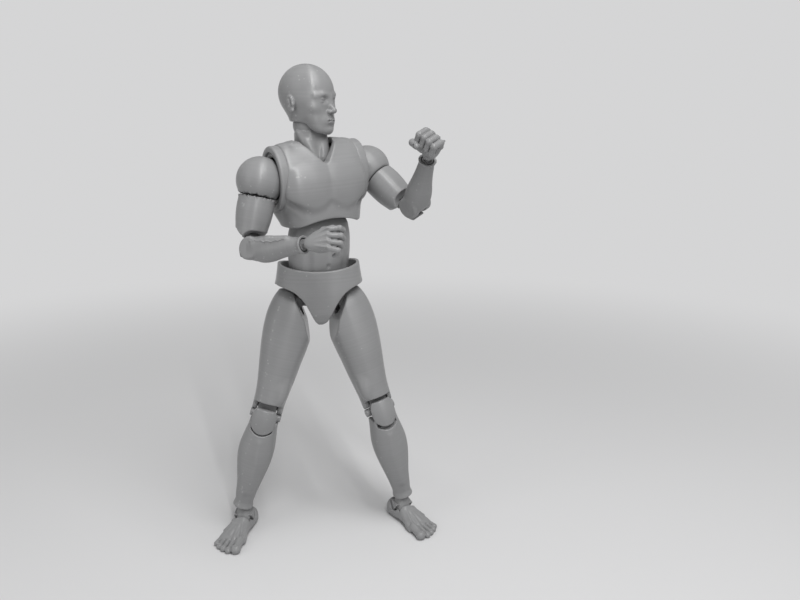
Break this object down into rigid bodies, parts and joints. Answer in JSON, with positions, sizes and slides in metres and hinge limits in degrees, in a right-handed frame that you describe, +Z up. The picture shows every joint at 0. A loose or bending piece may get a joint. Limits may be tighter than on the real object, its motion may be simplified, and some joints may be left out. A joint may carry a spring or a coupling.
{
  "type": "posable action figure",
  "caption": "Posable toy figure of a plain, bald, barefoot adult in one grey plastic, standing in a boxing guard, with jointed neck, waist, arms, hands, hips, knees and ankles.",
  "frame": {"origin": "Middle of the bounding box on the surface that the soles stand on, in the guard pose", "axes": "+Z up; -Y is where the hips face; +X is the side of the figure's own left hand"},
  "size_m": [0.072, 0.0462, 0.1513],
  "materials": {
    "grey_print": "Satin mid-grey printed plastic with fine layer lines",
    "inner_print": "Same grey plastic, unpolished, on the pegs and links inside the joints"
  },
  "bodies": {
    "pelvis": {"pelvis_shell": "grey_print", "hip_block": "inner_print"},
    "waist_peg": {"waist_peg": "inner_print"},
    "abdomen": {"abdomen": "grey_print"},
    "chest_link": {"chest_link": "inner_print"},
    "chest": {"chest": "grey_print"},
    "neck": {"neck": "grey_print"},
    "head_peg": {"head_peg": "inner_print"},
    "head": {"head": "grey_print"},
    "shoulder_ring_left": {"shoulder_ring_left": "grey_print"},
    "shoulder_peg_left": {"shoulder_peg_left": "inner_print"},
    "deltoid_left": {"deltoid_left": "grey_print"},
    "upper_arm_left": {"upper_arm_left": "grey_print"},
    "elbow_link_left": {"elbow_link_left": "grey_print"},
    "forearm_left": {"forearm_left": "grey_print"},
    "wrist_peg_left": {"wrist_peg_left": "inner_print"},
    "hand_left": {"hand_left": "grey_print"},
    "hip_peg_left": {"hip_peg_left": "inner_print"},
    "hip_stem_left": {"hip_stem_left": "inner_print"},
    "thigh_left": {"thigh_left": "grey_print"},
    "knee_link_left": {"knee_link_left": "grey_print"},
    "shin_left": {"shin_left": "grey_print"},
    "ankle_link_left": {"ankle_link_left": "grey_print"},
    "foot_left": {"foot_left": "grey_print"},
    "shoulder_ring_right": {"shoulder_ring_right": "grey_print"},
    "shoulder_peg_right": {"shoulder_peg_right": "inner_print"},
    "deltoid_right": {"deltoid_right": "grey_print"},
    "upper_arm_right": {"upper_arm_right": "grey_print"},
    "elbow_link_right": {"elbow_link_right": "grey_print"},
    "forearm_right": {"forearm_right": "grey_print"},
    "wrist_peg_right": {"wrist_peg_right": "inner_print"},
    "hand_right": {"hand_right": "grey_print"},
    "hip_peg_right": {"hip_peg_right": "inner_print"},
    "hip_stem_right": {"hip_stem_right": "inner_print"},
    "thigh_right": {"thigh_right": "grey_print"},
    "knee_link_right": {"knee_link_right": "grey_print"},
    "shin_right": {"shin_right": "grey_print"},
    "ankle_link_right": {"ankle_link_right": "grey_print"},
    "foot_right": {"foot_right": "grey_print"}
  },
  "joints": [
    {"name": "waist_turn", "type": "hinge", "parent": "pelvis", "child": "waist_peg", "pos_m": [-0.00003, 0.01071, 0.08778], "axis": [0, 0, 1], "range_deg": [-44, 3]},
    {"name": "waist_bend", "type": "hinge", "parent": "waist_peg", "child": "abdomen", "pos_m": [-0.00003, 0.01071, 0.08778], "axis": [0.9397, 0.342, 0], "range_deg": [-11.5, 3.5]},
    {"name": "chest_lean", "type": "hinge", "parent": "abdomen", "child": "chest_link", "pos_m": [0.00036, 0.00962, 0.10674], "axis": [-0.3414, 0.9379, 0.061], "range_deg": [-5, 12]},
    {"name": "chest_bend", "type": "hinge", "parent": "chest_link", "child": "chest", "pos_m": [0.00018, 0.00913, 0.11332], "axis": [0.9395, 0.3385, 0.0522], "range_deg": [-2.5, 13.5]},
    {"name": "neck_tilt", "type": "hinge", "parent": "chest", "child": "neck", "pos_m": [-0.00097, 0.01078, 0.12325], "axis": [0.9395, 0.3385, 0.0522], "range_deg": [-12, 18]},
    {"name": "head_turn", "type": "hinge", "parent": "neck", "child": "head_peg", "pos_m": [-0.00195, 0.01194, 0.13333], "axis": [-0.0958, 0.1133, 0.9889], "range_deg": [-91, 29]},
    {"name": "head_nod", "type": "hinge", "parent": "head_peg", "child": "head", "pos_m": [-0.00195, 0.01194, 0.13333], "axis": [0.6359, 0.7713, -0.0268], "range_deg": [-22, 9]},
    {"name": "shoulder_swing_left", "type": "hinge", "parent": "chest", "child": "shoulder_ring_left", "pos_m": [0.0085, 0.01318, 0.11918], "axis": [0.0609, -0.0151, -0.998], "range_deg": [-10, 10]},
    {"name": "arm_swing_left", "type": "hinge", "parent": "shoulder_ring_left", "child": "shoulder_peg_left", "pos_m": [0.01649, 0.01606, 0.11962], "axis": [-0.9395, -0.3385, -0.0522], "range_deg": [-81, 62]},
    {"name": "arm_raise_left", "type": "hinge", "parent": "shoulder_peg_left", "child": "deltoid_left", "pos_m": [0.01649, 0.01606, 0.11962], "axis": [0.1903, -0.6427, 0.7421], "range_deg": [-7, 53]},
    {"name": "arm_twist_left", "type": "hinge", "parent": "deltoid_left", "child": "upper_arm_left", "pos_m": [0.01649, 0.01606, 0.11962], "axis": [0.616, -0.5104, -0.6], "range_deg": [-64, 56]},
    {"name": "elbow_upper_left", "type": "hinge", "parent": "upper_arm_left", "child": "elbow_link_left", "pos_m": [0.02684, 0.00748, 0.10954], "axis": [-0.7758, -0.5251, -0.3498], "range_deg": [-42, 10]},
    {"name": "elbow_lower_left", "type": "hinge", "parent": "elbow_link_left", "child": "forearm_left", "pos_m": [0.02942, 0.00356, 0.10971], "axis": [-0.7758, -0.5251, -0.3498], "range_deg": [-54, 6]},
    {"name": "wrist_twist_left", "type": "hinge", "parent": "forearm_left", "child": "wrist_peg_left", "pos_m": [0.03085, -0.00892, 0.12527], "axis": [-0.0714, 0.6239, -0.7782], "range_deg": [-80, 80]},
    {"name": "wrist_bend_left", "type": "hinge", "parent": "wrist_peg_left", "child": "hand_left", "pos_m": [0.03085, -0.00892, 0.12527], "axis": [0.7758, 0.5251, 0.3498], "range_deg": [-30, 30]},
    {"name": "hip_swing_left", "type": "hinge", "parent": "pelvis", "child": "hip_peg_left", "pos_m": [0.00747, 0.01071, 0.07828], "axis": [-1, 0, 0], "range_deg": [-22, 35]},
    {"name": "hip_spread_left", "type": "hinge", "parent": "hip_peg_left", "child": "hip_stem_left", "pos_m": [0.00747, 0.01071, 0.07828], "axis": [0, -0.9925, 0.1219], "range_deg": [-6.84, 28.16]},
    {"name": "thigh_twist_left", "type": "hinge", "parent": "hip_stem_left", "child": "thigh_left", "pos_m": [0.00747, 0.01071, 0.07828], "axis": [-0.2896, 0.1166, 0.95], "range_deg": [-30, 15]},
    {"name": "knee_upper_left", "type": "hinge", "parent": "thigh_left", "child": "knee_link_left", "pos_m": [0.01752, 0.00667, 0.04531], "axis": [0.9426, 0.2071, 0.262], "range_deg": [0, 60]},
    {"name": "knee_lower_left", "type": "hinge", "parent": "knee_link_left", "child": "shin_left", "pos_m": [0.01943, 0.0059, 0.03904], "axis": [0.9426, 0.2071, 0.262], "range_deg": [-14.5, 45.5]},
    {"name": "ankle_tilt_left", "type": "hinge", "parent": "shin_left", "child": "ankle_link_left", "pos_m": [0.02667, 0.00984, 0.00989], "axis": [-0.2334, 0.9696, 0.0733], "range_deg": [-39.23, 8.77]},
    {"name": "ankle_rock_left", "type": "hinge", "parent": "ankle_link_left", "child": "foot_left", "pos_m": [0.02658, 0.01021, 0.0048], "axis": [0.9722, 0.2341, 0], "range_deg": [-10.79, 19.21]},
    {"name": "shoulder_swing_right", "type": "hinge", "parent": "chest", "child": "shoulder_ring_right", "pos_m": [-0.00935, 0.00675, 0.11819], "axis": [-0.0609, 0.0151, 0.998], "range_deg": [-10, 10]},
    {"name": "arm_swing_right", "type": "hinge", "parent": "shoulder_ring_right", "child": "shoulder_peg_right", "pos_m": [-0.01733, 0.00387, 0.11774], "axis": [-0.9395, -0.3385, -0.0522], "range_deg": [-38, 105]},
    {"name": "arm_raise_right", "type": "hinge", "parent": "shoulder_peg_right", "child": "deltoid_right", "pos_m": [-0.01733, 0.00387, 0.11774], "axis": [-0.3334, 0.9388, -0.087], "range_deg": [-3, 57]},
    {"name": "arm_twist_right", "type": "hinge", "parent": "deltoid_right", "child": "upper_arm_right", "pos_m": [-0.01733, 0.00387, 0.11774], "axis": [0.2157, 0.1657, 0.9623], "range_deg": [-85, 35]},
    {"name": "elbow_upper_right", "type": "hinge", "parent": "upper_arm_right", "child": "elbow_link_right", "pos_m": [-0.02096, 0.00108, 0.10158], "axis": [-0.6909, -0.6705, 0.2703], "range_deg": [-44, 8]},
    {"name": "elbow_lower_right", "type": "hinge", "parent": "elbow_link_right", "child": "forearm_right", "pos_m": [-0.01943, -0.00184, 0.09822], "axis": [-0.6909, -0.6705, 0.2703], "range_deg": [-58, 2]},
    {"name": "wrist_twist_right", "type": "hinge", "parent": "forearm_right", "child": "wrist_peg_right", "pos_m": [-0.00504, -0.01529, 0.10164], "axis": [0.7198, -0.6729, 0.1706], "range_deg": [-70, 90]},
    {"name": "wrist_bend_right", "type": "hinge", "parent": "wrist_peg_right", "child": "hand_right", "pos_m": [-0.00504, -0.01529, 0.10164], "axis": [0.6686, 0.6061, -0.4308], "range_deg": [-22, 38]},
    {"name": "hip_swing_right", "type": "hinge", "parent": "pelvis", "child": "hip_peg_right", "pos_m": [-0.00753, 0.01071, 0.07828], "axis": [-1, 0, 0], "range_deg": [-21, 36]},
    {"name": "hip_spread_right", "type": "hinge", "parent": "hip_peg_right", "child": "hip_stem_right", "pos_m": [-0.00753, 0.01071, 0.07828], "axis": [0, 0.9945, -0.1045], "range_deg": [-7, 28]},
    {"name": "thigh_twist_right", "type": "hinge", "parent": "hip_stem_right", "child": "thigh_right", "pos_m": [-0.00753, 0.01071, 0.07828], "axis": [-0.2924, -0.1, -0.9511], "range_deg": [-29, 16]},
    {"name": "knee_upper_right", "type": "hinge", "parent": "thigh_right", "child": "knee_link_right", "pos_m": [-0.01768, 0.00725, 0.04528], "axis": [0.9445, -0.1858, -0.2708], "range_deg": [-12, 48]},
    {"name": "knee_lower_right", "type": "hinge", "parent": "knee_link_right", "child": "shin_right", "pos_m": [-0.01936, 0.00794, 0.03893], "axis": [0.9445, -0.1858, -0.2708], "range_deg": [-2, 58]},
    {"name": "ankle_tilt_right", "type": "hinge", "parent": "shin_right", "child": "ankle_link_right", "pos_m": [-0.02686, 0.01217, 0.00988], "axis": [-0.2159, -0.9726, -0.0858], "range_deg": [-39.77, 8.23]},
    {"name": "ankle_rock_right", "type": "hinge", "parent": "ankle_link_right", "child": "foot_right", "pos_m": [-0.02676, 0.0126, 0.0048], "axis": [0.9762, -0.2167, 0], "range_deg": [-10.08, 19.92]}
  ]
}
